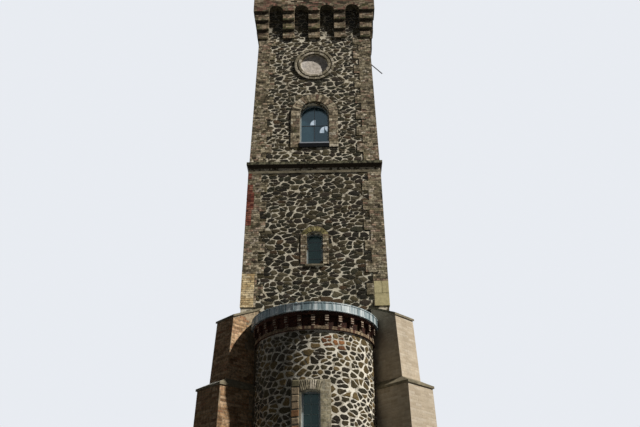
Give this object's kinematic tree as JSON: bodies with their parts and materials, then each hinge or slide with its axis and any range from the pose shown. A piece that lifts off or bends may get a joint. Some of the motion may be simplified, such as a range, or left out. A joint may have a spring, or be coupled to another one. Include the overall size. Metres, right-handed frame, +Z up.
{
  "type": "observation tower",
  "caption": "Square rubble-stone lookout tower with brick quoins, arched corbel table, battlements, round stair bay and diagonal buttresses.",
  "frame": {"origin": "middle of the tower's plan, on the ground, on the underside of the ground floor", "axes": "+Z up, the front with the round bay faces -Y, +X to the right as seen from the front"},
  "size_m": [7.0712, 7.7721, 24.41],
  "materials": {
    "rubble": "dark rubble stone in pale raised mortar",
    "brick": "weathered yellow and pink brick",
    "cut_stone": "weathered dressed stone",
    "render": "smooth lime render on masonry",
    "zinc": "weathered zinc sheet",
    "window_metal": "thin blue-grey paint",
    "window_glass": "dark slate-blue panes",
    "floor": "plain concrete",
    "iron": "dark weathered iron"
  },
  "bodies": {
    "root": {"front_wall_piers": "rubble", "front_wall_lower": "rubble", "back_wall_piers": "rubble", "back_wall_lower": "rubble", "left_wall_lower": "rubble", "right_wall_lower": "rubble", "front_wall_upper": "rubble", "back_wall_upper": "rubble", "left_wall_upper": "rubble", "right_wall_upper": "rubble", "bay_wall_left": "rubble", "bay_wall_front": "rubble", "bay_wall_right": "rubble", "quoins": "brick", "upper_window_surrounds": "brick", "middle_window_surrounds": "brick", "doorway_surround": "brick", "medallion_rings": "brick", "corbels": "brick", "corner_corbels": "brick", "front_parapet": "brick", "right_parapet": "brick", "back_parapet": "brick", "left_parapet": "brick", "merlons": "brick", "bay_frieze": "brick", "bay_wall_head": "brick", "string_course": "cut_stone", "bay_window_surround": "cut_stone", "medallion_discs": "cut_stone", "merlon_copings": "cut_stone", "buttress_copings": "cut_stone", "middle_window_sills": "cut_stone", "buttress_front_left": "render", "buttress_front_right": "render", "buttress_back_left": "render", "buttress_back_right": "render", "bay_roof_flashing": "render", "bay_fascia": "zinc", "bay_roof": "zinc", "upper_window_frames": "window_metal", "middle_window_frames": "window_metal", "bay_window_frame": "window_metal", "upper_window_sills": "window_metal", "upper_window_glass": "window_glass", "middle_window_glass": "window_glass", "bay_window_glass": "window_glass", "ground_floor": "floor", "first_floor": "floor", "second_floor": "floor", "third_floor": "floor", "platform": "floor", "drain_spout": "iron"}
  },
  "joints": []
}
